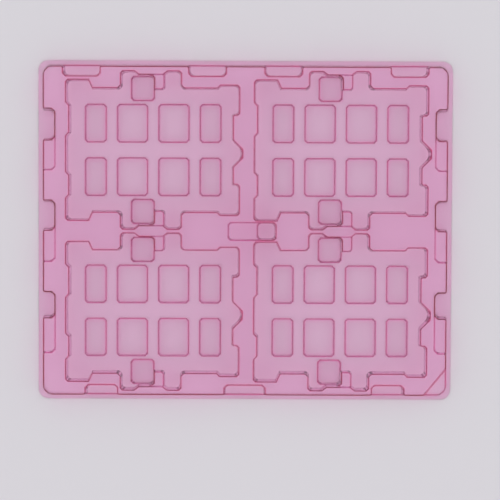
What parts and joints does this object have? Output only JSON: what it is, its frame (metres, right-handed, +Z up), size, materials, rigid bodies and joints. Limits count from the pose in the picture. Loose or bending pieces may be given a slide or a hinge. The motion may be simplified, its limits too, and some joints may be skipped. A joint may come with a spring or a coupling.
{
  "type": "thermoformed plastic tray",
  "caption": "Clear tinted thermoformed handling tray with shaped pockets, floor wells, notched rim and a key corner.",
  "frame": {"origin": "middle of the tray on the plane it stands on", "axes": "+X along the length towards the finger bays, +Y along the width away from the cut corner, +Z up out of the pockets"},
  "size_m": [0.3606, 0.2956, 0.0186],
  "materials": {
    "tinted_sheet": "clear pink sheet, glossy"
  },
  "bodies": {
    "root": {"tray": "tinted_sheet"}
  },
  "joints": []
}
